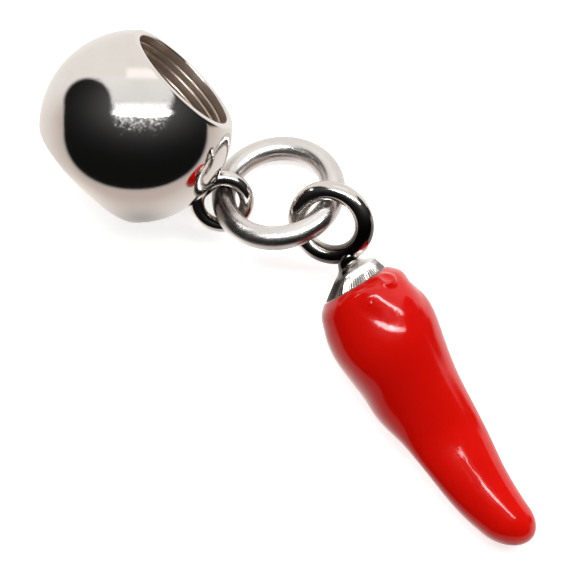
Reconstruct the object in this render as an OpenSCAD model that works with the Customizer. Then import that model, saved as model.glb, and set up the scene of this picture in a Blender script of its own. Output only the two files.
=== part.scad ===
// Chili pepper charm, lying as it does on a table: a ball bead with a large bore, a jump ring
// through the bead's soldered eye, and an enamelled chili pepper on its own cast eye.
// Millimetres, +Z up. The bore runs along Y, the charm lies along X, and Z = 0 is the table.

/* [Bead] */
// Radius of the ball
bead_r = 3.86; // [3.7:0.02:4.0]
// Distance between the two flat mouths, along the bore
bead_length = 5.52; // [5.3:0.02:5.7]
// Radius of the bore
bore_r = 2.4; // [2.2:0.05:2.5]
// Where the ball's middle stands on the table, from the middle of the charm's footprint
bead_x = -9.51; // [-9.7:0.01:-9.3]
// The same, across the charm
bead_y = -0.83; // [-1:0.01:-0.6]

/* [Bead eye] */
// Radius of the soldered eye, to the middle of its wire
eye_r = 0.99; // [0.97:0.01:1.02]
// Radius of the eye's wire
eye_wire_r = 0.3; // [0.26:0.01:0.31]
// Distance from the ball's middle to the middle of the eye
eye_reach = 4.77; // [4.76:0.01:4.8]
// Angle by which the eye hangs below the ball's middle
eye_droop = 18; // [17.6:0.2:18.6]
// How far the solder stands proud of the ball, round the foot of the eye
solder_rise = 0.1; // [0.04:0.01:0.14]

/* [Jump ring] */
// Radius of the ring, to the middle of its wire
ring_r = 2.21; // [2.18:0.01:2.22]
// Radius of the ring's wire
ring_wire_r = 0.48; // [0.43:0.01:0.49]
// Angle between the ring and the table
ring_tilt = 45.2; // [44.6:0.2:45.6]

/* [Stem cap] */
// Radius of the pepper's cast eye, to the middle of its wire
loop_r = 1.39; // [1.37:0.01:1.42]
// Radius of that eye's wire
loop_wire_r = 0.385; // [0.34:0.005:0.39]
// Number of grooves round the cap
groove_count = 36; // [24:1:40]
// Depth of the grooves
groove_depth = 0.03; // [0:0.01:0.05]

/* [Pepper] */
// Angle between the pepper and the X axis
pepper_turn = -13.5; // [-15:0.5:-12]
// Height of the fold round the stem's right side
fold_rise = 0.22; // [0:0.02:0.28]
// Gap between the metal cap and the enamel
seat_gap = 0.03; // [0.02:0.01:0.06]

/* [Hidden] */
$fn = 96;

// Middle of the jump ring, from the point of the table under the ball
ring_at = [5.88, 1.81, 2.05];
// Compass angle towards which the ring's axis leans
ring_lean = 135.6;

// Foot of the pepper's own frame, from the point of the table under the ball.
// In that frame +X runs from the stem to the tip and +Z is up.
pepper_at = [10.4, 1.65, 0];
// Middle of the cast eye in the pepper's frame, and the way that its axis leans
loop_at = [-2.39, 0.485, 2.73];
loop_lean = 15.2;
loop_compass = -59;

// Sections of the pepper from the stem to the tip: distance along it, middle to the side,
// clearance over the table, half width, half depth, and slant of the flatter right flank
along = 0;
side = 1;
lift = 2;
half_w = 3;
half_d = 4;
slant = 5;
pepper_sections = [
    [0.30, -0.14, 0.72, 1.46, 1.44, 0],
    [0.60, -0.14, 0.44, 1.74, 1.74, 0],
    [1.00, -0.16, 0.21, 1.895, 1.94, 0],
    [1.60, -0.17, 0.07, 2.095, 2.07, 0],
    [2.30, -0.15, 0.01, 2.225, 2.17, 0],
    [3.10, -0.17, 0.00, 2.175, 2.19, 0],
    [3.80, -0.23, 0.01, 2.065, 2.09, 0],
    [4.50, -0.30, 0.02, 1.965, 1.94, 0],
    [5.40, -0.40, 0.01, 1.855, 1.74, 0.06],
    [6.60, -0.36, 0.00, 1.615, 1.45, 0.20],
    [7.60, -0.32, 0.01, 1.445, 1.28, 0.36],
    [8.40, -0.30, 0.04, 1.355, 1.25, 0.38],
    [9.40, -0.30, 0.11, 1.265, 1.21, 0.30],
    [10.60, -0.22, 0.16, 1.175, 1.16, 0.14],
    [11.70, -0.03, 0.20, 1.055, 1.07, 0.03],
    [12.75, 0.23, 0.22, 0.955, 0.98, 0],
];
// The tip is rounded off from here to the last section
tip_start = 11.55;

// Folds of the shoulder: distance along, angle round the pepper from its right side over
// its top, radius of the flat middle, radius of the foot, rise in fold heights, and
// stretch of the radius along the pepper
folds = [
    [0.90, 38, 0.48, 1.70, 1.00, 0.85],
    [0.80, -8, 0.00, 0.70, 0.32, 1.00],
    [1.50, -10, 0.00, 0.45, -0.23, 1.00],
    [1.10, 152, 0.00, 1.10, 0.18, 1.00],
];
// The folds fade out towards the seat over this distance
fold_start = 0.9;

// Sections of the cap from the eye to the enamel, in the pepper's frame: distance along,
// middle to the side, height of the middle, half width and half depth, and groove depth in parts
cap_along = 0;
cap_side = 1;
cap_height = 2;
cap_half_w = 3;
cap_half_d = 4;
cap_groove = 5;
cap_sections = [
    [-1.05, 0.40, 2.56, 0.34, 0.30, 0],
    [-0.85, 0.29, 2.54, 0.46, 0.42, 0],
    [-0.58, 0.18, 2.48, 0.50, 0.48, 0],
    [-0.46, 0.19, 2.45, 0.62, 0.62, 0],
    [-0.32, 0.22, 2.41, 0.86, 0.86, 0.3],
    [-0.15, 0.14, 2.34, 1.03, 1.02, 1],
    [0.06, 0.01, 2.25, 1.21, 1.19, 1],
    [0.30, -0.12, 2.17, 1.40, 1.37, 1],
];

// Sides and rings of the swept solids
pepper_sides = 56;
pepper_rings = 34;
tip_rings = 9;
cap_sides = groove_count * 4;
cap_rings = 15;

// Row of a table whose stretch holds x
function row(table, x, i = 0) = i >= len(table) - 2 || x < table[i + 1][0] ? i : row(table, x, i + 1);

// Slope of a column at row i
function slope(table, column, i) =
    let (a = max(i - 1, 0), b = min(i + 1, len(table) - 1))
    (table[b][column] - table[a][column]) / (table[b][0] - table[a][0]);

// Value of a column at x, on a smooth curve through the table's rows
function smooth(table, column, x) =
    let (i = row(table, x), span = table[i + 1][0] - table[i][0], t = (x - table[i][0]) / span)
    let (a = table[i][column], b = table[i + 1][column])
    let (m = slope(table, column, i) * span, n = slope(table, column, i + 1) * span)
    a * (1 - 3 * t * t + 2 * t * t * t) + b * (3 * t * t - 2 * t * t * t)
        + m * (t - 2 * t * t + t * t * t) + n * (t * t * t - t * t);

// Share from 0 to 1 that grows smoothly while x goes from a to b
function share(x, a, b) = let (t = min(1, max(0, (x - a) / (b - a)))) t * t * (3 - 2 * t);

// Rise of the surface over its section, from every fold
function fold_lift(x, angle, radius) =
    fold_rise * share(x, 0, fold_start) * sum_of([for (f = folds)
        let (turn = angle - f[1], across = (turn - 360 * round(turn / 360)) * PI / 180 * radius)
        f[4] * (1 - share(norm([(x - f[0]) * f[5], across]), f[2], f[3]))]);
function sum_of(list, i = 0) = i >= len(list) ? 0 : list[i] + sum_of(list, i + 1);

// How much of its section the pepper keeps at x: all of it, then less over the rounded tip
tip_end = pepper_sections[len(pepper_sections) - 1][along];
function tip_part(x) =
    x <= tip_start ? 1 : sqrt(max(0, 1 - pow((x - tip_start) / (tip_end - tip_start), 2)));

// Distances of the rings: closer near the stem, and by even angles round the tip
stem_start = pepper_sections[0][along];
ring_places = concat(
    [for (i = [0:pepper_rings - 1]) stem_start + (tip_start - stem_start) * pow(i / pepper_rings, 1.35)],
    [for (i = [0:tip_rings - 1]) tip_start + (tip_end - tip_start) * sin(90 * i / tip_rings)]);

// Middle of the pepper's section at x
function pepper_middle(x) =
    let (w = smooth(pepper_sections, half_w, x), d = smooth(pepper_sections, half_d, x))
    let (low = norm([d, w * smooth(pepper_sections, slant, x)]))
    [x, smooth(pepper_sections, side, x), low + max(0, smooth(pepper_sections, lift, x))];

// One ring of points round the pepper
function pepper_ring(x) =
    let (w = smooth(pepper_sections, half_w, x), d = smooth(pepper_sections, half_d, x))
    let (drop = w * smooth(pepper_sections, slant, x), middle = pepper_middle(x), k = tip_part(x))
    [for (i = [0:pepper_sides - 1])
        let (angle = 360 * i / pepper_sides, rise = fold_lift(x, angle, w))
        middle + k * [0, (w + rise) * cos(angle), (d + rise) * sin(angle) - drop * cos(angle)]];

// One ring of points round the cap
function cap_ring(x) =
    let (w = smooth(cap_sections, cap_half_w, x), d = smooth(cap_sections, cap_half_d, x))
    let (cut = groove_depth * smooth(cap_sections, cap_groove, x))
    let (middle = [x, smooth(cap_sections, cap_side, x), smooth(cap_sections, cap_height, x)])
    [for (i = [0:cap_sides - 1])
        let (angle = 360 * i / cap_sides, dip = cut * (0.5 - 0.5 * cos(groove_count * angle)))
        middle + [0, (w - dip) * cos(angle), (d - dip) * sin(angle)]];

// Closed solid through rings of the same number of points, with a point at each end
module swept(rings, first, last) {
    sides = len(rings[0]);
    count = len(rings);
    points = concat([first], [for (r = rings) each r], [last]);
    end = len(points) - 1;
    faces = concat(
        [for (j = [0:sides - 1]) [0, 1 + j, 1 + (j + 1) % sides]],
        [for (i = [0:count - 2], j = [0:sides - 1])
            let (a = 1 + i * sides + j, b = 1 + i * sides + (j + 1) % sides)
            each [[a, b + sides, b], [a, a + sides, b + sides]]],
        [for (j = [0:sides - 1])
            let (base = 1 + (count - 1) * sides) [end, base + (j + 1) % sides, base + j]]);
    polyhedron(points = points, faces = faces, convexity = 6);
}

module round_ring(radius, wire_r) {
    rotate_extrude() translate([radius, 0]) circle(r = wire_r, $fn = 48);
}

// Places a child from the point of the table under the ball
module from_bead(at = [0, 0, 0]) {
    translate([bead_x, bead_y, 0] + at) children();
}

module in_pepper_frame() {
    from_bead(pepper_at) rotate([0, 0, pepper_turn]) children();
}

// Ball cut flat at both mouths, bored through, with its eye soldered on
module charm_bead() {
    color([0.82, 0.81, 0.79]) from_bead([0, 0, bead_r]) difference() {
        union() {
            intersection() {
                sphere(r = bead_r);
                rotate([90, 0, 0]) cylinder(r = bead_r + 1, h = bead_length, center = true);
            }
            rotate([0, eye_droop, 0]) {
                translate([eye_reach, 0, 0]) round_ring(eye_r, eye_wire_r);
                solder();
            }
        }
        rotate([90, 0, 0]) cylinder(r = bore_r, h = bead_length + 1, center = true);
    }
}

// Low mound of solder round the foot of the eye
module solder() {
    mound_r = 0.62;
    translate([bead_r + solder_rise - mound_r, 0, 0]) sphere(r = mound_r);
}

module jump_ring() {
    color([0.80, 0.79, 0.77]) from_bead(ring_at)
        rotate([0, ring_tilt, ring_lean]) round_ring(ring_r, ring_wire_r);
}

// Cast eye, neck and grooved cap, one casting
module stem_cap() {
    color([0.76, 0.75, 0.73]) in_pepper_frame() {
        translate(loop_at) rotate([0, loop_lean, loop_compass]) round_ring(loop_r, loop_wire_r);
        cap();
    }
}

module cap() {
    start = cap_sections[0][cap_along];
    seat = pepper_sections[0][along] - seat_gap;
    places = [for (i = [0:cap_rings]) start + (seat - start) * i / cap_rings];
    first = [start, smooth(cap_sections, cap_side, start), smooth(cap_sections, cap_height, start)];
    last = [seat, smooth(cap_sections, cap_side, seat), smooth(cap_sections, cap_height, seat)];
    swept([for (x = places) cap_ring(x)], first, last);
}

// The pepper, from its flat seat under the cap to its blunt tip
module chili_body() {
    color([0.84, 0.06, 0.03]) in_pepper_frame()
        swept([for (x = ring_places) pepper_ring(x)], pepper_middle(stem_start), pepper_middle(tip_end));
}

charm_bead();
jump_ring();
stem_cap();
chili_body();
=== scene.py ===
import math

import bpy
import numpy as np
from mathutils import Matrix, Vector
from mathutils.bvhtree import BVHTree


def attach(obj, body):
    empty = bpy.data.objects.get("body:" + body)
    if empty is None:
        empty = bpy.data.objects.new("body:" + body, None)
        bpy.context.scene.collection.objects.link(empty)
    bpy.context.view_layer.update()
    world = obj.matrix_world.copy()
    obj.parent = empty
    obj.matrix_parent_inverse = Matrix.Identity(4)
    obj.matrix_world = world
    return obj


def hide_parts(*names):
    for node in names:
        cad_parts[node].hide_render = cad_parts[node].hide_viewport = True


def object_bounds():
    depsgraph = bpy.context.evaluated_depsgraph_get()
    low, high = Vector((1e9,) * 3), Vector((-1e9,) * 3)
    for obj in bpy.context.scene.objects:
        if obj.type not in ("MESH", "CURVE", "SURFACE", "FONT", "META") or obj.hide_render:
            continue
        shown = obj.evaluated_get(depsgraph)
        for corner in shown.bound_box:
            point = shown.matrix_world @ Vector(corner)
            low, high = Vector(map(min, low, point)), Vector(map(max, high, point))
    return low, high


# Looks of the chili pepper charm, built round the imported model. Shapes are worked out in millimetres in the
# part's own frame and written to the meshes in metres. Colours are linear.

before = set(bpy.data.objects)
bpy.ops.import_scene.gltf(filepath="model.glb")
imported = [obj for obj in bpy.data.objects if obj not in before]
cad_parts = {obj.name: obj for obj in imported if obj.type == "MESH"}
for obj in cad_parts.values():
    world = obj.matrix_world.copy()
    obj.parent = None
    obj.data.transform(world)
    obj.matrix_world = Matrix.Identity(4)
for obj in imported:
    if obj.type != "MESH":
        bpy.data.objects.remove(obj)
cad_lo, cad_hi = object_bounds()

MM = 0.001
TAU = 2 * math.pi

# Sizes of the solids, as the part's source names them
BEAD_R = 3.86
BEAD_LENGTH = 5.52
BORE_R = 2.4
BEAD_AT = np.array([-9.51, -0.83, 3.86])
EYE_R = 0.99
EYE_WIRE_R = 0.3
EYE_REACH = 4.77
EYE_DROOP = math.radians(18)
SOLDER_RISE = 0.1
TABLE_AT = BEAD_AT * [1, 1, 0]
RING_AT = TABLE_AT + [5.88, 1.81, 2.05]
RING_R = 2.21
RING_WIRE_R = 0.48
RING_TILT = math.radians(45.2)
RING_LEAN = math.radians(135.6)
PEPPER_AT = TABLE_AT + [10.4, 1.65, 0]
PEPPER_TURN = math.radians(-13.5)
LOOP_AT = np.array([-2.39, 0.485, 2.73])
LOOP_R = 1.39
LOOP_WIRE_R = 0.385
LOOP_LEAN = math.radians(15.2)
LOOP_COMPASS = math.radians(-59)
FOLD_RISE = 0.22
FOLD_START = 0.9
SEAT_GAP = 0.03
TIP_START = 11.55

# The pepper: distance along it, middle to the side, clearance over the table, half width, half depth, and slant
# of the flatter right flank
PEPPER_SECTIONS = [
    (0.30, -0.14, 0.72, 1.46, 1.44, 0),
    (0.60, -0.14, 0.44, 1.74, 1.74, 0),
    (1.00, -0.16, 0.21, 1.895, 1.94, 0),
    (1.60, -0.17, 0.07, 2.095, 2.07, 0),
    (2.30, -0.15, 0.01, 2.225, 2.17, 0),
    (3.10, -0.17, 0.00, 2.175, 2.19, 0),
    (3.80, -0.23, 0.01, 2.065, 2.09, 0),
    (4.50, -0.30, 0.02, 1.965, 1.94, 0),
    (5.40, -0.40, 0.01, 1.855, 1.74, 0.06),
    (6.60, -0.36, 0.00, 1.615, 1.45, 0.20),
    (7.60, -0.32, 0.01, 1.445, 1.28, 0.36),
    (8.40, -0.30, 0.04, 1.355, 1.25, 0.38),
    (9.40, -0.30, 0.11, 1.265, 1.21, 0.30),
    (10.60, -0.22, 0.16, 1.175, 1.16, 0.14),
    (11.70, -0.03, 0.20, 1.055, 1.07, 0.03),
    (12.75, 0.23, 0.22, 0.955, 0.98, 0),
]

# Folds of the shoulder: distance along, angle round the section, radius of the flat middle, radius of the foot,
# rise in fold heights, stretch of the radius along the pepper
FOLDS = [
    (0.90, 38, 0.48, 1.70, 1.00, 0.85),
    (0.80, -8, 0.00, 0.70, 0.32, 1.00),
    (1.50, -10, 0.00, 0.45, -0.23, 1.00),
    (1.10, 152, 0.00, 1.10, 0.18, 1.00),
]

# The cap: distance along, middle to the side, height of the middle, half width, half depth, groove depth
CAP_SECTIONS = [
    (-1.05, 0.40, 2.56, 0.34, 0.30, 0),
    (-0.85, 0.29, 2.54, 0.46, 0.42, 0),
    (-0.58, 0.18, 2.48, 0.50, 0.48, 0),
    (-0.46, 0.19, 2.45, 0.62, 0.62, 0),
    (-0.32, 0.22, 2.41, 0.86, 0.86, 0.3),
    (-0.15, 0.14, 2.34, 1.03, 1.02, 1),
    (0.06, 0.01, 2.25, 1.21, 1.19, 1),
    (0.30, -0.12, 2.17, 1.40, 1.37, 1),
]

# Fine detail that the solids don't have. On the bead: how far short of the mouth the ball's curve ends, and the
# rounding of the mouth's edge and of the bore's lip
BALL_STOP = 0.13
MOUTH_ROUND = 0.09
LIP_ROUND = 0.07

# Shallow cuts in the bore's wall: distance from the mouth, width, depth. Their ends slope and are rounded, and
# the middle of the bore is plain over this half length
BORE_CUTS = [
    (0.34, 0.08, 0.025),
    (0.60, 0.12, 0.03),
    (0.98, 0.10, 0.025),
    (1.26, 0.14, 0.03),
]
CUT_SLOPE = 0.02
CUT_ROUND = 0.015
PLAIN_BORE = 1.2

# Swelling of the solder round the eye's foot: height, reach round the ball, reach along the bore, and the width
# of the mouth that it leaves alone
SWELL_RISE = SOLDER_RISE * 1.5
SWELL_ROUND = 0.30
SWELL_ALONG = 0.62
SWELL_CLEAR = 0.4

# Thicker wire at the eye's foot: extra share of its radius, and how far round the eye that reaches
FLARE = 0.30
FLARE_REACH = 0.45

# Fine lines of the cap: number and depth, and slow waves in the depth as height, number round the cap and start
CAP_LINES = 72
LINE_DEPTH = 0.024
LINE_WAVES = [(0.35, 5, 1), (0.25, 11, 2)]

# Small marks in the enamel: distance along, angle round the section, radius of the middle, width of its edge,
# rise of the middle, rise of the rim round it
MARKS = [
    (0.62, 38, 0.12, 0.12, 0.0, 0.11),
    (1.13, 72, 0.05, 0.12, 0.022, 0.0),
]

# Soft crease over the shoulder: distance along and angle of each end, width, rise
CREASE = (1.60, 82, 2.10, 76, 0.18, 0.0035)

# Steps inwards of the rows where the cap's rim and the enamel's end turn in to the seat
CAP_INSETS = (0.03, 0.2, 0.6, 1.1)
ENAMEL_INSETS = (1.2, 0.5, 0.12, 0.03)

# Numbers of rows and columns in the meshes. The pepper's rows lie closer together towards the stem, by a power of
# their place, and its columns closer together round the marks of the shoulder
ROUND_STEPS = 5
BALL_ROWS = 110
PLAIN_ROWS = 5
BEAD_SIDES = 288
EYE_GRID = (160, 56)
RING_GRID = (288, 72)
LOOP_GRID = (200, 64)
CAP_ROWS = 64
CAP_SIDES = 504
BODY_ROWS = 250
BODY_POWER = 1.25
TIP_ROWS = 40
PEPPER_SIDES = 288
CROWDING = 0.5
CROWDED_AT = math.radians(50)


# Curves and turns


def curve_through(table):
    """Function that gives every column of the table but the first at x, on a smooth cubic curve."""
    rows = np.array(table, float)
    knots, values = rows[:, 0], rows[:, 1:]
    gaps = np.diff(knots)
    count = len(knots)
    system, target = np.eye(count), np.zeros_like(values)
    for i in range(1, count - 1):
        system[i, i - 1 : i + 2] = gaps[i - 1], 2 * (gaps[i - 1] + gaps[i]), gaps[i]
        target[i] = 6 * ((values[i + 1] - values[i]) / gaps[i] - (values[i] - values[i - 1]) / gaps[i - 1])
    bends = np.linalg.solve(system, target)

    def at(x):
        i = int(np.clip(np.searchsorted(knots, x) - 1, 0, count - 2))
        p, q = (knots[i + 1] - x) / gaps[i], (x - knots[i]) / gaps[i]
        bend = ((p**3 - p) * bends[i] + (q**3 - q) * bends[i + 1]) * gaps[i] ** 2 / 6
        return p * values[i] + q * values[i + 1] + bend

    return at


def share(x, low, high):
    """Share from 0 to 1 that grows smoothly while x goes from low to high."""
    t = np.clip((x - low) / (high - low), 0, 1)
    return t * t * (3 - 2 * t)


def angles_round(sides):
    return TAU * np.arange(sides) / sides


def turn(axis, angle):
    return np.array(Matrix.Rotation(angle, 3, axis))


def ring_turn():
    return turn("Z", RING_LEAN) @ turn("Y", RING_TILT)


def in_pepper_frame(points):
    return PEPPER_AT + points @ turn("Z", PEPPER_TURN).T


def eye_middle():
    return BEAD_AT + turn("Y", EYE_DROOP) @ np.array([EYE_REACH, 0, 0])


def rounded(corners):
    """Outline through corners (along, radius, rounding), each corner rounded by a curve that starts and ends
    at that distance from it."""
    out = []
    for i, (x, y, cut) in enumerate(corners):
        here = np.array([x, y])
        if cut == 0:
            out.append(here)
            continue
        before = np.array(corners[i - 1][:2]) - here
        after = np.array(corners[(i + 1) % len(corners)][:2]) - here
        start = here + before / np.linalg.norm(before) * cut
        end = here + after / np.linalg.norm(after) * cut
        for t in np.linspace(0, 1, ROUND_STEPS):
            out.append((1 - t) ** 2 * start + 2 * t * (1 - t) * here + t**2 * end)
    return np.array(out)


# Meshes


def mesh_from_grid(name, grid, wrap_rows, cap_ends=False):
    """Mesh through a grid of points in millimetres, kept inside the box of the CAD. Columns always close on
    themselves; rows close where wrap_rows is set, or else end in a point at each end where cap_ends is set."""
    rows, cols = grid.shape[:2]
    grid = np.clip(grid, np.array(cad_lo) / MM, np.array(cad_hi) / MM)
    points = grid.reshape(-1, 3)
    faces = []
    for i in range(rows if wrap_rows else rows - 1):
        for j in range(cols):
            a, b = i * cols + j, i * cols + (j + 1) % cols
            c, d = (i + 1) % rows * cols + (j + 1) % cols, (i + 1) % rows * cols + j
            faces.append((a, d, c, b))
    if cap_ends:
        points = np.concatenate([points, grid[:1].mean(1), grid[-1:].mean(1)])
        first, last = len(points) - 2, len(points) - 1
        for j in range(cols):
            faces.append((first, j, (j + 1) % cols))
            faces.append((last, (rows - 1) * cols + (j + 1) % cols, (rows - 1) * cols + j))
    mesh = bpy.data.meshes.new(name)
    mesh.from_pydata((points * MM).tolist(), [], faces)
    mesh.validate()
    mesh.polygons.foreach_set("use_smooth", [True] * len(mesh.polygons))
    mesh.update()
    return mesh


def mesh_object(name, mesh):
    piece = bpy.data.objects.new(name, mesh)
    bpy.context.scene.collection.objects.link(piece)
    return piece


def outward(mesh):
    """Turns the faces of a closed mesh outwards."""
    place = [v.co for v in mesh.vertices]
    volume = 0
    for face in mesh.polygons:
        first, *rest = [place[v] for v in face.vertices]
        for second, third in zip(rest, rest[1:]):
            volume += first.dot(second.cross(third))
    if volume < 0:
        mesh.flip_normals()
    return mesh


def torus_grid(radius, wire_r, size, flare=None):
    """Rows of a ring of wire about Z; flare(angle) thickens the wire."""
    around, section = size
    rows = []
    for i in range(around):
        angle = TAU * i / around
        r = wire_r * (flare(angle) if flare else 1)
        t = angles_round(section)
        reach = radius + r * np.cos(t)
        rows.append(np.stack([reach * math.cos(angle), reach * math.sin(angle), r * np.sin(t)], 1))
    return np.array(rows)


def row_at(x, across, height):
    """Row of points of a swept mesh at x."""
    return np.stack([np.full(len(across), x), across, height], 1)


def inset_rows(x, side, height, half_width, half_depth, angle, insets):
    """Rows at x that step inwards from the section's edge."""
    return [
        row_at(x, side + (half_width - inset) * np.cos(angle), height + (half_depth - inset) * np.sin(angle))
        for inset in insets
    ]


def barycentric(a, b, c, p):
    """Shares of the corners a, b and c in the point p of their triangle."""
    v0, v1, v2 = b - a, c - a, p - a
    d00, d01, d11, d20, d21 = v0.dot(v0), v0.dot(v1), v1.dot(v1), v2.dot(v0), v2.dot(v1)
    scale = d00 * d11 - d01 * d01
    if abs(scale) < 1e-30:
        return 1.0, 0.0, 0.0
    v, w = (d11 * d20 - d01 * d21) / scale, (d00 * d21 - d01 * d20) / scale
    return 1 - v - w, v, w


def fused(name, meshes):
    """One closed mesh from overlapping ones. Each face keeps the smooth normals of the mesh that it came from,
    so that the mirror finish shows no marks along the joint."""
    parts = [mesh_object(f"{name}_part{i}", m) for i, m in enumerate(meshes)]
    for other in parts[1:]:
        union = parts[0].modifiers.new("union", "BOOLEAN")
        union.operation = "UNION"
        union.solver = "EXACT"
        union.object = other
    bpy.context.view_layer.update()
    whole = bpy.data.meshes.new_from_object(parts[0].evaluated_get(bpy.context.evaluated_depsgraph_get()))
    sources = []
    for part in parts:
        m = part.data
        m.calc_loop_triangles()
        corners = [tuple(t.vertices) for t in m.loop_triangles]
        points = [v.co.copy() for v in m.vertices]
        smooth = [v.normal.copy() for v in m.vertices]
        sources.append((BVHTree.FromPolygons(points, corners), corners, points, smooth))
    normals = [Vector((0, 0, 1))] * len(whole.loops)
    for face in whole.polygons:
        face.use_smooth = True
        tree, corners, points, smooth = min(sources, key=lambda s: s[0].find_nearest(face.center)[3])
        for loop in face.loop_indices:
            at, _, index, _ = tree.find_nearest(whole.vertices[whole.loops[loop].vertex_index].co)
            a, b, c = corners[index]
            to_a, to_b, to_c = barycentric(points[a], points[b], points[c], at)
            normals[loop] = (smooth[a] * to_a + smooth[b] * to_b + smooth[c] * to_c).normalized()
    whole.normals_split_custom_set(normals)
    for part in parts:
        bpy.data.objects.remove(part)
    whole.name = name
    return mesh_object(name, whole)


# Bead: a turned ball with rounded lips and shallow cuts in the wall of the bore, and its wire eye


def bead_outline():
    """Outline of the ball's wall, along the bore and out from its axis."""
    half = BEAD_LENGTH / 2
    face_out = math.sqrt(BEAD_R**2 - half**2)
    reach = math.asin((half - BALL_STOP) / BEAD_R)
    ball = [(BEAD_R * math.sin(a), BEAD_R * math.cos(a), 0) for a in np.linspace(-reach, reach, BALL_ROWS)]
    near = [(half, face_out, MOUTH_ROUND), (half, BORE_R, LIP_ROUND)]
    cuts = []
    for at, wide, deep in BORE_CUTS:
        y = half - at
        cuts += [(y, BORE_R, CUT_ROUND), (y - CUT_SLOPE, BORE_R + deep, CUT_ROUND)]
        cuts += [(y - wide, BORE_R + deep, CUT_ROUND), (y - wide - CUT_SLOPE, BORE_R, CUT_ROUND)]
    wall = [(y, BORE_R, 0) for y in np.linspace(PLAIN_BORE, -PLAIN_BORE, PLAIN_ROWS)]
    far_cuts = [(-y, r, c) for y, r, c in reversed(cuts)]
    far = [(-half, BORE_R, LIP_ROUND), (-half, face_out, MOUTH_ROUND)]
    return rounded(ball + near + cuts + wall + far_cuts + far)


def bead_mesh():
    outline = bead_outline()
    angle = angles_round(BEAD_SIDES)
    y, r = outline[:, :1], outline[:, 1:]
    grid = np.stack([r * np.cos(angle), np.broadcast_to(y, (len(y), BEAD_SIDES)), r * np.sin(angle)], 2)
    # Solder swells the ball's surface round the foot of the eye
    foot = np.array([math.cos(EYE_DROOP), 0, -math.sin(EYE_DROOP)])
    unit = grid / np.linalg.norm(grid, axis=2, keepdims=True)
    gap = (unit - foot) * BEAD_R
    spread = (gap[..., 0] ** 2 + gap[..., 2] ** 2) / SWELL_ROUND**2 + gap[..., 1] ** 2 / SWELL_ALONG**2
    outer = np.linalg.norm(grid[..., [0, 2]], axis=2) > BORE_R + SWELL_CLEAR
    rise = SWELL_RISE * np.exp(-spread) * outer
    grid = grid + unit * rise[..., None]
    return outward(mesh_from_grid("ball", grid + BEAD_AT, wrap_rows=True))


def eye_mesh():
    def flare(angle):
        from_foot = abs(angle - math.pi)
        return 1 + FLARE * math.exp(-((from_foot / FLARE_REACH) ** 2))

    grid = torus_grid(EYE_R, EYE_WIRE_R, EYE_GRID, flare) + [EYE_REACH, 0, 0]
    return outward(mesh_from_grid("eye", BEAD_AT + grid @ turn("Y", EYE_DROOP).T, wrap_rows=True))


# Jump ring


def ring_mesh():
    grid = torus_grid(RING_R, RING_WIRE_R, RING_GRID) @ ring_turn().T
    return outward(mesh_from_grid("bright_jump_ring", RING_AT + grid, wrap_rows=True))


# Stem cap: cast eye, neck and finely lined calyx


def loop_mesh():
    grid = torus_grid(LOOP_R, LOOP_WIRE_R, LOOP_GRID)
    grid = LOOP_AT + grid @ (turn("Z", LOOP_COMPASS) @ turn("Y", LOOP_LEAN)).T
    return outward(mesh_from_grid("loop", in_pepper_frame(grid), wrap_rows=True))


def cap_mesh():
    section = curve_through(CAP_SECTIONS)
    start, seat = CAP_SECTIONS[0][0], PEPPER_SECTIONS[0][0] - SEAT_GAP
    angle = angles_round(CAP_SIDES)
    uneven = 1
    for wave, times_round, begins in LINE_WAVES:
        uneven = uneven + wave * np.sin(times_round * angle + begins)
    line = 0.5 - 0.5 * np.cos(CAP_LINES * angle)
    rows = []
    for x in np.linspace(start, seat, CAP_ROWS):
        side, height, w, d, groove = section(x)
        dip = LINE_DEPTH * np.clip(groove, 0, 1) * uneven * line
        rows.append(row_at(x, side + (w - dip) * np.cos(angle), height + (d - dip) * np.sin(angle)))
    side, height, w, d, _ = section(seat)
    rows += inset_rows(seat, side, height, w, d, angle, CAP_INSETS)
    return outward(mesh_from_grid("cap", in_pepper_frame(np.array(rows)), wrap_rows=False, cap_ends=True))


# Pepper


def surface_rise(x, angle, half_width):
    """Rise over the plain section at x, from the shoulder's folds, the small marks and the crease."""

    def away(at, round_at, stretch=1.0):
        gap = (angle - math.radians(round_at) + math.pi) % TAU - math.pi
        return np.hypot((x - at) * stretch, gap * half_width)

    rise = np.zeros_like(angle)
    for at, round_at, inner, foot, up, stretch in FOLDS:
        rise += FOLD_RISE * share(x, 0, FOLD_START) * up * (1 - share(away(at, round_at, stretch), inner, foot))
    for at, round_at, radius, edge, middle, rim in MARKS:
        reach = away(at, round_at)
        rise += middle * (1 - share(reach, radius - edge / 2, radius + edge / 2))
        rise += rim * np.exp(-(((reach - radius - edge) / edge) ** 2))
    at, round_at, end_at, end_round_at, width, up = CREASE
    along, around = x - at, (angle - math.radians(round_at)) * half_width
    run = np.array([end_at - at, math.radians(end_round_at - round_at) * half_width])
    nearest = np.clip((along * run[0] + around * run[1]) / (run @ run), 0, 1)
    gap = np.hypot(along - nearest * run[0], around - nearest * run[1])
    return rise + up * np.exp(-((gap / width) ** 2))


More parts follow.
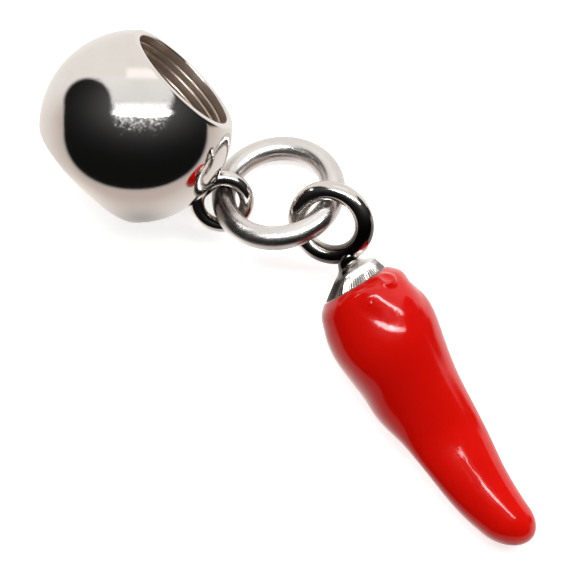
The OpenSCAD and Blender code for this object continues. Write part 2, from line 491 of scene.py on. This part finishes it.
def pepper_mesh():
    section = curve_through(PEPPER_SECTIONS)
    stem, tip_end = PEPPER_SECTIONS[0][0], PEPPER_SECTIONS[-1][0]
    even = angles_round(PEPPER_SIDES)
    angle = even - CROWDING * np.sin(even - CROWDED_AT)
    body = stem + (TIP_START - stem) * np.linspace(0, 1, BODY_ROWS, endpoint=False) ** BODY_POWER
    tip = TIP_START + (tip_end - TIP_START) * np.sin(np.linspace(0, math.pi / 2, TIP_ROWS, endpoint=False))
    side, lift, w, d, _ = section(stem)
    rows = inset_rows(stem, side, d + lift, w, d, angle, ENAMEL_INSETS)
    for x in np.concatenate([body, tip]):
        side, lift, w, d, slant = section(x)
        keep = 1 if x <= TIP_START else math.sqrt(1 - ((x - TIP_START) / (tip_end - TIP_START)) ** 2)
        rise = surface_rise(x, angle, w)
        drop = w * slant
        across = side + keep * (w + rise) * np.cos(angle)
        middle = math.hypot(d, drop) + max(0, lift)
        height = middle + keep * ((d + rise) * np.sin(angle) - drop * np.cos(angle))
        rows.append(row_at(x, across, np.maximum(height, 0)))
    grid = in_pepper_frame(np.array(rows))
    return outward(mesh_from_grid("enamel_pepper", grid, wrap_rows=False, cap_ends=True))


# Node trees


class Nodes:
    """Short names for building a node tree."""

    def __init__(self, tree):
        self.tree = tree

    def add(self, kind, inputs=(), **settings):
        node = self.tree.nodes.new(kind)
        for key, value in settings.items():
            setattr(node, key, value)
        for key, value in dict(inputs).items():
            self.put(node.inputs[key], value)
        return node

    def put(self, socket, value):
        if isinstance(value, bpy.types.NodeSocket):
            self.tree.links.new(value, socket)
        else:
            socket.default_value = value

    def math(self, operation, *values):
        node = self.add("ShaderNodeMath", operation=operation)
        for socket, value in zip(node.inputs, values):
            self.put(socket, value)
        return node.outputs[0]

    def times(self, *values):
        product = values[0]
        for value in values[1:]:
            product = self.math("MULTIPLY", product, value)
        return product

    def ramp(self, value, low, high, to_low=0.0, to_high=1.0):
        """Smooth step from to_low at low to to_high at high."""
        keys = {"Value": value, "From Min": low, "From Max": high, "To Min": to_low, "To Max": to_high}
        return self.add("ShaderNodeMapRange", keys, interpolation_type="SMOOTHSTEP", clamp=True).outputs["Result"]

    def mix(self, share_of_b, a, b):
        node = self.add("ShaderNodeMix", data_type="RGBA")
        for index, value in ((0, share_of_b), (6, a), (7, b)):
            self.put(node.inputs[index], value)
        return node.outputs[2]

    def noise(self, place, scale, detail, roughness=0.5):
        keys = {"Vector": place, "Scale": scale, "Detail": detail, "Roughness": roughness}
        return self.add("ShaderNodeTexNoise", keys).outputs["Fac"]

    def vector(self, operation, a, b, output=0):
        return self.add("ShaderNodeVectorMath", {0: a, 1: tuple(b)}, operation=operation).outputs[output]

    def split(self, vector):
        return self.add("ShaderNodeSeparateXYZ", {0: vector}).outputs

    def in_frame(self, place, location, rotation, scale=(1, 1, 1)):
        """Place in the coordinates of a frame that is moved, turned and scaled."""
        keys = {"Vector": place, "Location": tuple(location), "Rotation": rotation, "Scale": scale}
        return self.add("ShaderNodeMapping", keys, vector_type="TEXTURE").outputs[0]


def new_material(name):
    """Material with its nodes, its shader and the socket for a point's place in the part's frame, in metres."""
    material = bpy.data.materials.new(name)
    material.use_nodes = True
    tree = material.node_tree
    tree.nodes.clear()
    nodes = Nodes(tree)
    shader = nodes.add("ShaderNodeBsdfPrincipled")
    output = nodes.add("ShaderNodeOutputMaterial")
    tree.links.new(shader.outputs[0], output.inputs[0])
    place = nodes.add("ShaderNodeTexCoord").outputs["Object"]
    return material, nodes, shader, place


# Silver. Each kind has a bright and a dull shade

BALL_SHADES = (0.74, 0.71, 0.675, 1), (0.71, 0.675, 0.635, 1)
WIRE_SHADES = (0.75, 0.72, 0.70, 1), (0.66, 0.63, 0.60, 1)
CAST_SHADES = (0.73, 0.69, 0.65, 1), (0.68, 0.64, 0.60, 1)
BORE_BROWNS = (0.50, 0.41, 0.34, 1), (0.64, 0.56, 0.49, 1)
# Painted shade on the jump ring's wire where it hangs in the bead's eye
EYE_SHADE_BROWN = (0.16, 0.135, 0.12, 1)
# Painted shade in the cap's grooves
GROOVE_SHADE_GREY = (0.13, 0.12, 0.11, 1)
# Painted shade down the cap's left side and in the recess of the neck
RECESS_SHADE_BROWN = (0.10, 0.085, 0.075, 1)
# Painted light on the cap's right side
LIT_SIDE_WHITE = (0.92, 0.90, 0.87, 1)

# Noise scales count features in a metre, and the scratches' depth is in metres. A fade gives where a look starts
# and where it is full; four numbers add its value at each. Scratches run slowly along the ring's wire, by so many
# metres a radian
CLOUD_SCALE = 700
CLOUD_FADE = (0.3, 0.75)
SCRATCH_SCALE = 9000
SCRATCH_DEPTH = 0.00001
SLOW_ALONG_RING = 0.0001

# The wall of the bore: how far behind its surface and how far in from the mouth, and how much duller it is
WALL_FADE = (0.075, 0.06)
MOUTH_FADE = (0.03, 0.10)
WALL_DULLER = 0.24

# The ring's painted shade inside the bead's eye, by distance in metres from the middle of the bead's eye
EYE_SHADE_FADE = (1.45 * MM, 0.95 * MM, 0.0, 0.85)

# The cap's middle line near its seat: sideways and upwards, as slope along the pepper and place at its start
CAP_SIDE_LINE = (0.58, -0.05)
CAP_RISE_LINE = (0.38, -2.28)

# Looks of the cap and neck. The first fade is by the cosine of the lines and the wear's by noise. The others are
# by distance along the pepper, or across the neck where they say so
GROOVE_FADE = (0.5, -0.8)
GROOVE_ALONG = (-0.25, 0.05)
WEAR_SCALE = 5000
WEAR_FADE = (0.3, 0.6, 0.35, 0.9)
NECK_SHIFT = 0.45
FOOT_FADE = (-0.82, -0.95)
DULL_FADE = (-0.35, 0.0)
DULLER = 0.05
DARK_FADE = (-2.2, -1.35)
DARK_ACROSS = (0.15, -0.2)
DARK_SHARE = 0.9
FROST_AND_LIGHT_FADE = (0.1, -0.2)
FROST_AND_LIGHT_ACROSS = (-0.1, 0.4)
FROST_DULLER = 0.35


def silver(name, shades, rough, scratch, detail, streaks=None):
    """Polished metal: faint colour variation, uneven polish and fine scratches. streaks(nodes, place) gives the
    coordinates that the scratches follow. detail(nodes, place, fine, tint, roughness) gives the tint and the
    roughness with what is special to the piece."""
    material, nodes, shader, place = new_material(name)
    cloud = nodes.noise(place, CLOUD_SCALE, 4)
    fine = nodes.noise(streaks(nodes, place) if streaks else place, SCRATCH_SCALE, 5, 0.65)
    tint = nodes.mix(nodes.ramp(cloud, *CLOUD_FADE), *shades)
    polish = nodes.math("MULTIPLY_ADD", fine, rough * 0.7, nodes.times(cloud, rough * 0.8))
    roughness = nodes.math("ADD", polish, rough * 0.2)
    tint, roughness = detail(nodes, place, fine, tint, roughness)
    nodes.put(shader.inputs["Base Color"], tint)
    nodes.put(shader.inputs["Roughness"], roughness)
    shader.inputs["Metallic"].default_value = 1.0
    bump = nodes.add("ShaderNodeBump", {"Strength": scratch, "Distance": SCRATCH_DEPTH, "Height": fine})
    nodes.put(shader.inputs["Normal"], bump.outputs[0])
    return material


def bore_wall(nodes, place):
    """1 on the wall of the bead's bore, 0 elsewhere."""
    parts = nodes.split(nodes.vector("SUBTRACT", place, BEAD_AT * MM))
    square = [nodes.times(parts[axis], parts[axis]) for axis in (0, 2)]
    reach = nodes.math("SQRT", nodes.math("ADD", *square))
    inside = nodes.ramp(reach, *[(BORE_R + behind) * MM for behind in WALL_FADE])
    half = BEAD_LENGTH / 2
    depth = nodes.ramp(nodes.math("ABSOLUTE", parts[1]), *[(half - within) * MM for within in MOUTH_FADE])
    return nodes.times(inside, depth)


def bored(nodes, place, fine, tint, roughness):
    """The bore's wall is duller and browner than the ball."""
    wall = bore_wall(nodes, place)
    tint = nodes.mix(wall, tint, nodes.mix(fine, *BORE_BROWNS))
    return tint, nodes.math("MULTIPLY_ADD", wall, WALL_DULLER, roughness)


def along_the_ring(nodes, place):
    """Coordinates that change quickly across the jump ring's wire and slowly along it."""
    x, y, z = nodes.split(nodes.in_frame(place, RING_AT * MM, Matrix(ring_turn()).to_euler()))
    reach = nodes.math("SQRT", nodes.math("ADD", nodes.times(x, x), nodes.times(y, y)))
    slow = nodes.times(nodes.math("ARCTAN2", y, x), SLOW_ALONG_RING)
    return nodes.add("ShaderNodeCombineXYZ", {0: reach, 1: z, 2: slow}).outputs[0]


def shaded_in_eye(nodes, place, fine, tint, roughness):
    """The jump ring's wire is darkened with painted shade where it hangs in the bead's eye."""
    from_eye = nodes.vector("DISTANCE", place, eye_middle() * MM, "Value")
    return nodes.mix(nodes.ramp(from_eye, *EYE_SHADE_FADE), tint, EYE_SHADE_BROWN), roughness


def cap_marks(nodes, place):
    """Distances along the pepper and sideways from the cap's middle, and how deep in a groove a point is."""
    local = nodes.in_frame(place, PEPPER_AT * MM, (0, 0, PEPPER_TURN), (MM, MM, MM))
    along, across, height = nodes.split(local)
    side = nodes.math("ADD", across, nodes.math("MULTIPLY_ADD", along, *CAP_SIDE_LINE))
    rise = nodes.math("ADD", height, nodes.math("MULTIPLY_ADD", along, *CAP_RISE_LINE))
    wave = nodes.math("COSINE", nodes.times(nodes.math("ARCTAN2", rise, side), float(CAP_LINES)))
    line = nodes.ramp(wave, *GROOVE_FADE)
    worn = nodes.ramp(nodes.noise(place, WEAR_SCALE, 2), *WEAR_FADE)
    near_seat = nodes.ramp(along, *GROOVE_ALONG)
    return along, side, nodes.times(line, nodes.times(worn, near_seat))


def cap_shade_and_light(nodes, place, fine, tint, roughness):
    """The cap is duller than its eye, with painted shade grey in its grooves. Painted shade darkens it down its left
    side and in the recess of the neck, and painted light makes it pale down its right side, which is also frosted
    duller."""
    along, side, groove = cap_marks(nodes, place)
    # Painted shade: grey in the grooves
    tint = nodes.mix(groove, tint, GROOVE_SHADE_GREY)
    roughness = nodes.math("MULTIPLY_ADD", nodes.ramp(along, *DULL_FADE), DULLER, roughness)
    across_neck = nodes.math("ADD", side, nodes.math("ADD", along, NECK_SHIFT))
    foot = nodes.ramp(along, *FOOT_FADE)
    dark = nodes.math("MAXIMUM", nodes.ramp(across_neck, *DARK_ACROSS), foot)
    dark = nodes.times(nodes.ramp(along, *DARK_FADE), dark, DARK_SHARE)
    # Painted shade down the left side and in the recess of the neck
    tint = nodes.mix(dark, tint, RECESS_SHADE_BROWN)
    # Painted light pales the right side, which is also frosted duller
    frost_and_light = nodes.times(nodes.ramp(across_neck, *FROST_AND_LIGHT_ACROSS), nodes.ramp(along, *FROST_AND_LIGHT_FADE))
    frost_and_light = nodes.times(frost_and_light, nodes.ramp(foot, 1.0, 0.0))
    return nodes.mix(frost_and_light, tint, LIT_SIDE_WHITE), nodes.math("MULTIPLY_ADD", frost_and_light, FROST_DULLER, roughness)


# Enamel and paper

ENAMEL_REDS = (0.44, 0.0025, 0.001, 1), (0.48, 0.0035, 0.0012, 1)
RED_CLOUD_SCALE = 260
RED_CLOUD_FADE = (0.3, 0.7)
SPECK_RED = (0.39, 0.002, 0.001, 1)
SPECK_SCALE = 6000
SPECK_FADE = (0.66, 0.78, 0.0, 0.35)
SPECK_ROUGHNESS = (0.3, 0.8, 0.10, 0.15)
# Share of the coat's gloss, by how far a surface faces up: less low on the sides, as painted shade in the reflections
# there, and a little less near the top
SHADED_LOW_GLOSS = (-0.3, 0.4, 0.2, 1.0)
TOP_GLOSS = (0.55, 0.9, 1.0, 0.65)
WAVE_SCALE = 900
WAVE_STRENGTH = 0.2
WAVE_DEPTH = 0.00002
PAPER_WHITES = (0.86, 0.855, 0.85, 1), (0.90, 0.897, 0.89, 1)
PAPER_SCALE = 4000


def enamel(name):
    """Glossy red enamel: slightly uneven depth of colour under a clear coat, and the faint waviness of a fired
    surface. Its gloss is weaker low on the sides, as painted shade in its reflections where the table beside it
    lies in shade, and a little weaker on the very top."""
    material, nodes, shader, place = new_material(name)
    cloud = nodes.noise(place, RED_CLOUD_SCALE, 3)
    specks = nodes.noise(place, SPECK_SCALE, 2)
    base = nodes.mix(nodes.ramp(cloud, *RED_CLOUD_FADE), *ENAMEL_REDS)
    base = nodes.mix(nodes.ramp(specks, *SPECK_FADE), base, SPECK_RED)
    nodes.put(shader.inputs["Base Color"], base)
    nodes.put(shader.inputs["Roughness"], nodes.ramp(specks, *SPECK_ROUGHNESS))
    shader.inputs["IOR"].default_value = 1.5
    shader.inputs["Specular IOR Level"].default_value = 0.09
    facing_up = nodes.split(nodes.add("ShaderNodeNewGeometry").outputs["Normal"])["Z"]
    # Painted shade: less coat gloss low on the sides, where the table beside the pepper lies in shade
    gloss = nodes.times(nodes.ramp(facing_up, *SHADED_LOW_GLOSS), nodes.ramp(facing_up, *TOP_GLOSS))
    nodes.put(shader.inputs["Coat Weight"], gloss)
    shader.inputs["Coat IOR"].default_value = 1.38
    shader.inputs["Coat Roughness"].default_value = 0.02
    waves = nodes.noise(place, WAVE_SCALE, 2)
    bump = nodes.add("ShaderNodeBump", {"Strength": WAVE_STRENGTH, "Distance": WAVE_DEPTH, "Height": waves})
    nodes.put(shader.inputs["Normal"], bump.outputs[0])
    return material


def paper(name):
    """Plain white paper. It glows a little, as a lit background does."""
    material, nodes, shader, place = new_material(name)
    nodes.put(shader.inputs["Base Color"], nodes.mix(nodes.noise(place, PAPER_SCALE, 4), *PAPER_WHITES))
    shader.inputs["Roughness"].default_value = 0.85
    shader.inputs["Specular IOR Level"].default_value = 0.1
    shader.inputs["Emission Color"].default_value = (1, 0.995, 0.985, 1)
    shader.inputs["Emission Strength"].default_value = 0.6
    return material


# Pieces, each in place of its solid

polished_silver = silver("polished_silver", BALL_SHADES, rough=0.08, scratch=0.06, detail=bored)
ring_silver = silver("ring_wire", WIRE_SHADES, rough=0.28, scratch=0.6, detail=shaded_in_eye, streaks=along_the_ring)
cast_silver = silver("cast_silver", CAST_SHADES, rough=0.10, scratch=0.08, detail=cap_shade_and_light)
red_enamel = enamel("red_enamel")

PIECES = [
    (fused("silver_ball_bead", [bead_mesh(), eye_mesh()]), "charm_bead", "polished_silver", polished_silver),
    (mesh_object("silver_jump_ring", ring_mesh()), "jump_ring", "ring_wire", ring_silver),
    (fused("silver_stem_cap", [loop_mesh(), cap_mesh()]), "stem_cap", "cast_silver", cast_silver),
    (mesh_object("red_chili_pepper", pepper_mesh()), "chili_body", "red_enamel", red_enamel),
]
for piece, node, slot, material in PIECES:
    piece.data.materials.clear()
    piece.data.materials.append(material)
    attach(piece, "root")
    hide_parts(node)

# Camera, at the photograph's angle: it leans 14 degrees from straight above, and is rolled so that the charm
# runs from the upper left to the lower right. The roll is given as the shares of X and of the lean in the view's
# own right

VIEW_LEAN = math.radians(14)
VIEW_ROLL = (0.699, 0.715)
VIEW_AT = Vector((-0.54, -1.48, 2.0)) * MM
VIEW_WIDTH = 23.2 * MM
VIEW_FAR = 0.6
SENSOR_WIDTH = 36
across_lean = Vector((0, math.cos(VIEW_LEAN), -math.sin(VIEW_LEAN)))
view_back = Vector((0, math.sin(VIEW_LEAN), math.cos(VIEW_LEAN)))
view_right = (VIEW_ROLL[0] * Vector((1, 0, 0)) + VIEW_ROLL[1] * across_lean).normalized()
view_up = view_back.cross(view_right)

camera = bpy.data.objects.new("camera", bpy.data.cameras.new("camera"))
bpy.context.scene.collection.objects.link(camera)
bpy.context.scene.camera = camera
camera.data.sensor_width = SENSOR_WIDTH
camera.data.lens = SENSOR_WIDTH * VIEW_FAR / VIEW_WIDTH
camera.data.clip_start = 0.01
camera.data.clip_end = 20
turned = Matrix((view_right, view_up, view_back)).transposed().to_4x4()
camera.matrix_world = Matrix.Translation(VIEW_AT + view_back * VIEW_FAR) @ turned

# Floor. The metal doesn't mirror it, but the table of the studio below

FLOOR_REACH = 3.0
floor_corners = [(x * FLOOR_REACH, y * FLOOR_REACH, 0) for x, y in ((-1, -1), (1, -1), (1, 1), (-1, 1))]
floor_mesh = bpy.data.meshes.new("floor")
floor_mesh.from_pydata(floor_corners, [], [(0, 1, 2, 3)])
floor = mesh_object("floor", floor_mesh)
floor.data.materials.append(paper("floor_paper"))
floor.visible_glossy = False

# Soft overhead light, from the upper right of the view. The metal doesn't mirror it either

LIGHT_UP, LIGHT_RIGHT = 0.35, 0.45
overhead = bpy.data.objects.new("overhead", bpy.data.lights.new("overhead", "SUN"))
bpy.context.scene.collection.objects.link(overhead)
overhead.data.energy = 0.9
overhead.data.angle = math.radians(170)
overhead.data.color = (1.0, 0.985, 0.965)
light_from = view_up * LIGHT_UP + Vector((0, 0, 1)) + view_right * LIGHT_RIGHT
overhead.rotation_euler = light_from.to_track_quat("Z", "Y").to_euler()
overhead.visible_glossy = False

# Studio round the charm, as light from fixed directions. Each direction is named by where a mirror ball that is
# looked at from above shows it: x to the right and y up over the ball's disc, 1 at its rim. A spot is given by
# the x and y of its middle and its reach along each, and a box by its left, right, lower and upper edge. Fades
# are as in the materials; a spot's is by the distance in reaches

# Dark room over the table: its middle's height, its reach, the powers of its outline from below to above, and
# its edge
ROOM_Y = -0.08
ROOM_REACH = (0.745, 0.585)
ROOM_POWERS = (-0.2, 0.1, 2.1, 4.0)
ROOM_FADE = (1.07, 0.93)
# Opening between the room's arms: a bowl below, by its middle, reach, power, depth, highest wall and edge
BOWL_X = 0.06
BOWL_REACH = 0.30
BOWL_POWER = 4.0
BOWL_DEPTH = 0.10
BOWL_WALL = 3.0
BOWL_FADE = (0.10, 0.06)
# The arms, from this height up, and a bulge at the end of the right arm
ARMS_OVER = (-0.2, -0.05)
LEFT_ARM = (-0.495, 0.24, 0.247, 0.25)
LEFT_ARM_FADE = (1.09, 0.91)
RIGHT_ARM_EDGE = 0.31
RIGHT_ARM_FADE = (-0.03, 0.03)
BULGE = (0.77, 0.16, 0.085, 0.15)
BULGE_FADE = (1.3, 0.7)
# Grain of the opening's lower edge and of the lamp, as noise scale and height
GRAIN_SCALE = 34
EDGE_GRAIN = 0.9
LAMP_GRAIN = 0.16
# Faint grey glow in the room, round the opening
ROOM_COLOUR = (0.007, 0.007, 0.007, 1)
GLOW = (0.07, 0.20, 0.45, 0.27)
GLOW_COLOUR = (0.157, 0.157, 0.163, 1)
# Table round the charm, brighter towards the rim and on the lamp side, with a bright and a dull place
TABLE_COLOUR = (0.66, 0.565, 0.53, 1)
TABLE_RIM_COLOUR = (0.95, 0.90, 0.87, 1)
TABLE_RIM_FADE = (0.72, 0.95)
LAMP_SIDE_COLOUR = (1.03, 1.0, 0.97, 1)
LAMP_SIDE_FADE = (0.05, 0.45)
BRIGHT_TABLE = (-0.62, -0.68, 0.30, 0.22)
BRIGHT_TABLE_COLOUR = (1.35, 1.3, 1.27, 1)
DULL_TABLE = (0.05, -0.97, 0.30, 0.12)
DULL_TABLE_COLOUR = (0.5, 0.48, 0.47, 1)
# Pale wall in the opening, by its lower and its upper colour
WALL_COLOURS = (0.96, 0.97, 0.99, 1), (1.06, 1.05, 1.03, 1)
WALL_COLOUR_FADE = (0.22, 0.60)
# Lamp over the lower edge of the opening, the glow on the wall round it, and a paler patch high on the wall
LAMP = (0.07, 0.137, 0.30, 0.023)
LAMP_FADE = (1.2, 0.8)
LAMP_STRENGTH = 40.0
HALO = (-0.22, 0.36, -0.08, 0.22)
HALO_STRENGTH = 0.7
PATCH = (-0.09, 0.25, 0.49, 0.59)
PATCH_STRENGTH = 0.35
BOX_EDGE = 0.035


class Studio(Nodes):
    """Node tree with the place x, y of each direction on the mirror ball."""

    def __init__(self, tree):
        super().__init__(tree)
        self.direction = self.add("ShaderNodeTexCoord").outputs["Generated"]
        right, up, back = [
            self.vector("DOT_PRODUCT", self.direction, axis, "Value") for axis in (view_right, view_up, view_back)
        ]
        scale = self.math("SQRT", self.math("MAXIMUM", self.math("MULTIPLY_ADD", back, 2.0, 2.0), 0.0001))
        self.x, self.y = self.math("DIVIDE", right, scale), self.math("DIVIDE", up, scale)

    def away(self, spot, above=False, height=None):
        """Distance from a spot's middle in reaches; above counts height over the middle only."""
        at_x, at_y, reach_x, reach_y = spot
        height = self.y if height is None else height
        dx = self.math("MULTIPLY_ADD", self.x, 1 / reach_x, -at_x / reach_x)
        dy = self.math("MULTIPLY_ADD", height, 1 / reach_y, -at_y / reach_y)
        if above:
            dy = self.math("MAXIMUM", dy, 0.0)
        return self.math("SQRT", self.math("ADD", self.times(dx, dx), self.times(dy, dy)))

    def blob(self, spot):
        far = self.away(spot)
        return self.math("EXPONENT", self.times(far, far, -1.0))

    def box(self, left, right, low, high):
        wide = self.times(
            self.ramp(self.x, left - BOX_EDGE, left + BOX_EDGE), self.ramp(self.x, right + BOX_EDGE, right - BOX_EDGE)
        )
        over = self.ramp(self.y, low - BOX_EDGE, low + BOX_EDGE)
        return self.times(wide, over, self.ramp(self.y, high + BOX_EDGE, high - BOX_EDGE))

    def grainy(self, grain, amount):
        """Height y, moved up and down by the grain."""
        return self.math("ADD", self.y, self.math("MULTIPLY_ADD", grain, amount, -amount / 2))


def dark_shapes(studio, grain):
    """The room's whole outline, and the parts of it that are dark."""
    dx = studio.math("ABSOLUTE", studio.math("DIVIDE", studio.x, ROOM_REACH[0]))
    dy = studio.math("ABSOLUTE", studio.math("DIVIDE", studio.math("ADD", studio.y, -ROOM_Y), ROOM_REACH[1]))
    power = studio.ramp(studio.y, *ROOM_POWERS)
    spread = studio.math("ADD", studio.math("POWER", dx, power), studio.math("POWER", dy, power))
    room = studio.ramp(spread, *ROOM_FADE)
    across = studio.math("MULTIPLY_ADD", studio.x, 1 / BOWL_REACH, -BOWL_X / BOWL_REACH)
    bowl = studio.math("MINIMUM", studio.math("POWER", across, BOWL_POWER), BOWL_WALL)
    edge = studio.math("MULTIPLY_ADD", bowl, -BOWL_DEPTH, studio.grainy(grain, EDGE_GRAIN))
    body = studio.times(room, studio.ramp(edge, *BOWL_FADE))
    over = studio.ramp(studio.y, *ARMS_OVER)
    left_arm = studio.times(studio.ramp(studio.away(LEFT_ARM, above=True), *LEFT_ARM_FADE), over)
    inner_edge = studio.math("MULTIPLY_ADD", studio.y, -RIGHT_ARM_EDGE, -RIGHT_ARM_EDGE)
    past_edge = studio.ramp(studio.math("ADD", studio.x, inner_edge), *RIGHT_ARM_FADE)
    right_arm = studio.times(room, past_edge, over)
    bulge = studio.ramp(studio.away(BULGE), *BULGE_FADE)
    dark = body
    for part in (left_arm, right_arm, bulge):
        dark = studio.math("MAXIMUM", dark, part)
    return room, dark


def studio_colour(studio, room, dark):
    dim = studio.mix(studio.blob(GLOW), ROOM_COLOUR, GLOW_COLOUR)
    rim = studio.ramp(studio.away((0, 0, 1, 1)), *TABLE_RIM_FADE)
    table = studio.mix(rim, TABLE_COLOUR, TABLE_RIM_COLOUR)
    table = studio.mix(studio.ramp(studio.y, *LAMP_SIDE_FADE), table, LAMP_SIDE_COLOUR)
    table = studio.mix(studio.times(rim, studio.blob(BRIGHT_TABLE)), table, BRIGHT_TABLE_COLOUR)
    table = studio.mix(studio.blob(DULL_TABLE), table, DULL_TABLE_COLOUR)
    wall = studio.mix(studio.ramp(studio.y, *WALL_COLOUR_FADE), *WALL_COLOURS)
    return studio.mix(dark, studio.mix(room, table, wall), dim)


def studio_strength(studio, dark, grain):
    lamp = studio.ramp(studio.away(LAMP, height=studio.grainy(grain, LAMP_GRAIN)), *LAMP_FADE)
    shown = studio.math("SUBTRACT", 1.0, dark)
    halo = studio.times(studio.box(*HALO), shown, HALO_STRENGTH)
    patch = studio.times(studio.box(*PATCH), PATCH_STRENGTH)
    lit = studio.math("ADD", studio.times(lamp, LAMP_STRENGTH), halo)
    return studio.math("ADD", studio.math("ADD", lit, patch), 1.0)


def studio_world():
    world = bpy.data.worlds.new("studio")
    world.use_nodes = True
    world.node_tree.nodes.clear()
    studio = Studio(world.node_tree)
    grain = studio.noise(studio.direction, GRAIN_SCALE, 2, 0.6)
    room, dark = dark_shapes(studio, grain)
    light = {"Color": studio_colour(studio, room, dark), "Strength": studio_strength(studio, dark, grain)}
    background = studio.add("ShaderNodeBackground", light)
    output = studio.add("ShaderNodeOutputWorld")
    world.node_tree.links.new(background.outputs[0], output.inputs[0])
    return world


bpy.context.scene.world = studio_world()
bpy.context.scene.view_settings.view_transform = "Standard"
